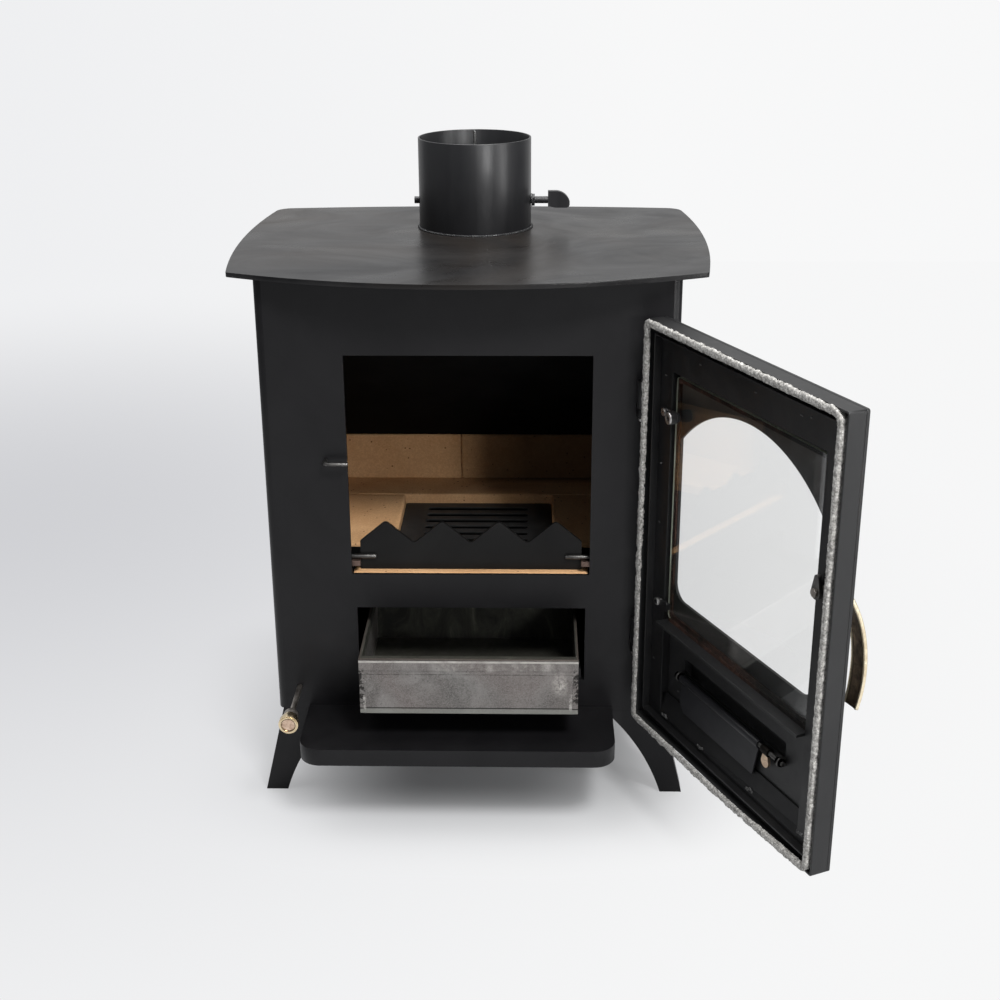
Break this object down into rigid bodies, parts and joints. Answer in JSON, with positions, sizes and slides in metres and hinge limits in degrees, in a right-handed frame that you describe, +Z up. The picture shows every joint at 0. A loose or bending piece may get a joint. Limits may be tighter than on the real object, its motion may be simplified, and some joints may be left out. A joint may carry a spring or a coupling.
{
  "type": "multi-fuel stove",
  "caption": "Small rectangular steel stove on sabre legs with a bowed top plate, flue collar with damper, firebrick lining, ash pan and an open glazed door.",
  "frame": {"origin": "centre of the flue collar's mouth", "axes": "+Z up along the flue, -Y towards the stove's front, +X towards the hinge side"},
  "size_m": [0.6275, 0.6989, 0.712],
  "materials": {
    "body_paint": "satin black stove paint",
    "top_paint": "satin black stove paint, rubbed and smudged",
    "fire_steel": "dull black",
    "grate_iron": "dull black cast iron",
    "firebrick": "matte grained firebrick board",
    "bare_steel": "bare mill steel, mottled",
    "rod_steel": "bare steel, dull",
    "screw_steel": "bright steel",
    "knob_metal": "worn bright, turned",
    "handle_bronze": "aged bronze, pale on its edges",
    "seal_rope": "fuzzy grey fibre rope",
    "glass_seal": "brown fibre tape",
    "window_pane": "clear ceramic glass"
  },
  "bodies": {
    "stove": {"body_wrap": "body_paint", "back_panel": "body_paint", "bottom_plate": "body_paint", "ash_floor": "body_paint", "firebox_floor": "fire_steel", "top_plate": "top_paint", "flue_collar": "top_paint", "leg_front_left": "body_paint", "leg_front_right": "body_paint", "leg_rear_left": "body_paint", "leg_rear_right": "body_paint", "leg_screws": "screw_steel", "ash_lip": "body_paint", "lip_screws": "screw_steel", "side_brick_left": "firebrick", "side_brick_right": "firebrick", "back_brick_left": "firebrick", "back_brick_right": "firebrick", "base_brick_left": "firebrick", "base_brick_right": "firebrick", "base_brick_rear": "firebrick", "front_brick": "firebrick", "grate": "grate_iron", "baffle": "fire_steel", "baffle_supports": "fire_steel", "latch_keeper": "rod_steel", "hinge_lugs": "body_paint", "hinge_pins": "screw_steel", "fence_lugs": "rod_steel"},
    "fence": {"fire_fence": "body_paint", "fence_ears": "rod_steel"},
    "pan": {"ash_pan": "bare_steel"},
    "air": {"air_rod": "rod_steel", "rod_knob": "knob_metal", "rod_collar": "rod_steel", "air_slide_plate": "fire_steel"},
    "damper": {"damper_spindle": "top_paint", "damper_plate": "fire_steel", "damper_nut": "rod_steel", "damper_knob": "top_paint"},
    "door": {"door_panel": "body_paint", "door_rim": "body_paint", "rope_channel": "body_paint", "inner_frame": "body_paint", "door_rope": "seal_rope", "glass_ledge": "body_paint", "window_glass": "window_pane", "glass_gasket": "glass_seal", "glass_clips": "rod_steel", "clip_screws": "screw_steel", "glass_standoff": "body_paint", "air_cowl": "body_paint", "flap_brackets": "rod_steel", "hinge_knuckles": "body_paint"},
    "flap": {"flap_rod": "rod_steel", "air_flap": "body_paint", "flap_tab": "handle_bronze"},
    "latch": {"latch_spindle": "rod_steel", "latch_cam": "rod_steel", "door_handle": "handle_bronze"}
  },
  "joints": [
    {"name": "door_hinge", "type": "hinge", "parent": "stove", "child": "door", "pos_m": [0.1839, -0.2513, -0.3906], "axis": [0, 0, 1], "range_deg": [-67, 15]},
    {"name": "latch_turn", "type": "hinge", "parent": "door", "child": "latch", "pos_m": [0.32049, -0.54422, -0.315], "axis": [-0.9063, -0.4226, 0], "range_deg": [0, 90]},
    {"name": "flap_hinge", "type": "hinge", "parent": "door", "child": "flap", "pos_m": [0.26377, -0.41311, -0.5146], "axis": [-0.4226, 0.9063, 0], "range_deg": [0, 180]},
    {"name": "pan_slide", "type": "slide", "parent": "stove", "child": "pan", "axis": [0, -1, 0], "range_m": [-0.081, 0.1]},
    {"name": "air_slide", "type": "slide", "parent": "stove", "child": "air", "axis": [0, 1, 0], "range_m": [-0.01, 0.045]},
    {"name": "damper_turn", "type": "hinge", "parent": "stove", "child": "damper", "pos_m": [0, 0, -0.0715], "axis": [1, 0, 0], "range_deg": [0, 90]},
    {"name": "fence_lift", "type": "slide", "parent": "stove", "child": "fence", "axis": [0, 0, 1], "range_m": [0, 0.08]}
  ]
}
